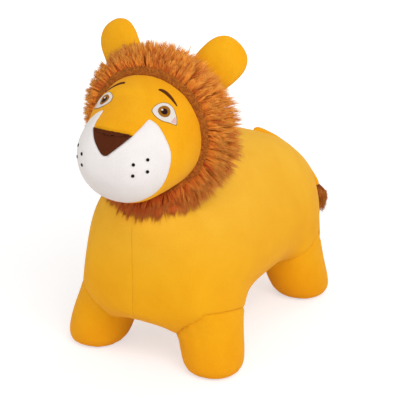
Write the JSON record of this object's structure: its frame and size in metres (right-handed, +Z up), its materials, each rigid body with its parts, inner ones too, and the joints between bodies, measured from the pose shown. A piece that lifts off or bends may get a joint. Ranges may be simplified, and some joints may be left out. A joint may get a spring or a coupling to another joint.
{
  "type": "bouncy ride on animal",
  "caption": "Inflatable hopping lion for a small child: an air bladder in a sewn plush cover, with stub legs, fur mane, ear handles, swinging tail and a zipped belly.",
  "frame": {"origin": "middle of the overall length and width, on the floor that the soles stand on", "axes": "+Z up, the animal faces -Y, its left side is +X"},
  "size_m": [0.3248, 0.5892, 0.5584],
  "materials": {
    "yellow_plush": "short pile plush",
    "white_plush": "short pile plush",
    "brown_fur": "long pile fur",
    "brown_satin": "smooth satin weave",
    "dark_thread": "embroidery thread",
    "amber_thread": "embroidery thread",
    "white_fibre": "loose polyester filling",
    "grey_vinyl": "flexible vinyl sheet",
    "black_plastic": "moulded plastic",
    "yellow_tape": "woven tape",
    "nickel": "nickel plate"
  },
  "bodies": {
    "feet": {"sole_front_left": "yellow_plush", "sole_front_right": "yellow_plush", "sole_rear_left": "yellow_plush", "sole_rear_right": "yellow_plush", "leg_sleeve_front_left": "yellow_plush", "leg_sleeve_front_right": "yellow_plush", "leg_sleeve_rear_left": "yellow_plush", "leg_sleeve_rear_right": "yellow_plush"},
    "trunk": {"side_panel_left": "yellow_plush", "side_panel_right": "yellow_plush", "face_panel": "yellow_plush", "head_panel": "yellow_plush", "belly_panel": "yellow_plush", "muzzle_panel": "white_plush", "eye_white_left": "white_plush", "eye_white_right": "white_plush", "mane": "brown_fur", "nose": "brown_satin", "brow_left": "brown_satin", "brow_right": "brown_satin", "pupil_left": "dark_thread", "pupil_right": "dark_thread", "whisker_dot_left_1": "dark_thread", "whisker_dot_left_2": "dark_thread", "whisker_dot_left_3": "dark_thread", "whisker_dot_left_4": "dark_thread", "whisker_dot_right_1": "dark_thread", "whisker_dot_right_2": "dark_thread", "whisker_dot_right_3": "dark_thread", "whisker_dot_right_4": "dark_thread", "iris_left": "amber_thread", "iris_right": "amber_thread", "muzzle_filling": "white_fibre", "bladder": "grey_vinyl", "valve_body": "black_plastic", "zip_tape_left": "yellow_tape", "zip_tape_right": "yellow_tape", "zip_teeth_left": "nickel", "zip_teeth_right": "nickel", "zip_stop_front": "nickel", "zip_stop_rear": "nickel"},
    "ear_left": {"ear_cover_left": "yellow_plush", "ear_filling_left": "white_fibre"},
    "ear_right": {"ear_cover_right": "yellow_plush", "ear_filling_right": "white_fibre"},
    "tail": {"tail_tube": "yellow_plush", "tail_tuft": "brown_fur"},
    "slider": {"zip_slider": "nickel"},
    "pull_tab": {"zip_pull_tab": "nickel"},
    "plug": {"air_plug": "black_plastic"}
  },
  "joints": [
    {"name": "bounce", "type": "slide", "parent": "feet", "child": "trunk", "axis": [0, 0, 1], "range_m": [-0.03, 0], "stiffness_N_per_m": 6000, "springref_m": 0.008, "deforming": ["leg_sleeve_front_left", "leg_sleeve_front_right", "leg_sleeve_rear_left", "leg_sleeve_rear_right", "bladder"]},
    {"name": "tail_swing", "type": "hinge", "parent": "trunk", "child": "tail", "pos_m": [0, 0.22059, 0.27151], "axis": [0, 0.6407, 0.7678], "range_deg": [-40, 6]},
    {"name": "ear_flex_left", "type": "hinge", "parent": "trunk", "child": "ear_left", "pos_m": [0.06464, -0.10729, 0.48219], "axis": [0.7604, 0, -0.6494], "range_deg": [-10, 10], "stiffness_Nm_per_rad": 2},
    {"name": "ear_flex_right", "type": "hinge", "parent": "trunk", "child": "ear_right", "pos_m": [-0.06464, -0.10729, 0.48219], "axis": [0.7604, 0, 0.6494], "range_deg": [-10, 10], "stiffness_Nm_per_rad": 2},
    {"name": "zip_slide", "type": "slide", "parent": "trunk", "child": "slider", "axis": [0, 1, 0], "range_m": [0, 0.1063]},
    {"name": "pull_tab_hinge", "type": "hinge", "parent": "slider", "child": "pull_tab", "pos_m": [0, -0.04585, 0.07675], "axis": [1, 0, 0], "range_deg": [-80, 80]},
    {"name": "plug_pull", "type": "slide", "parent": "trunk", "child": "plug", "axis": [0, 0, -1], "range_m": [0, 0.018]}
  ]
}
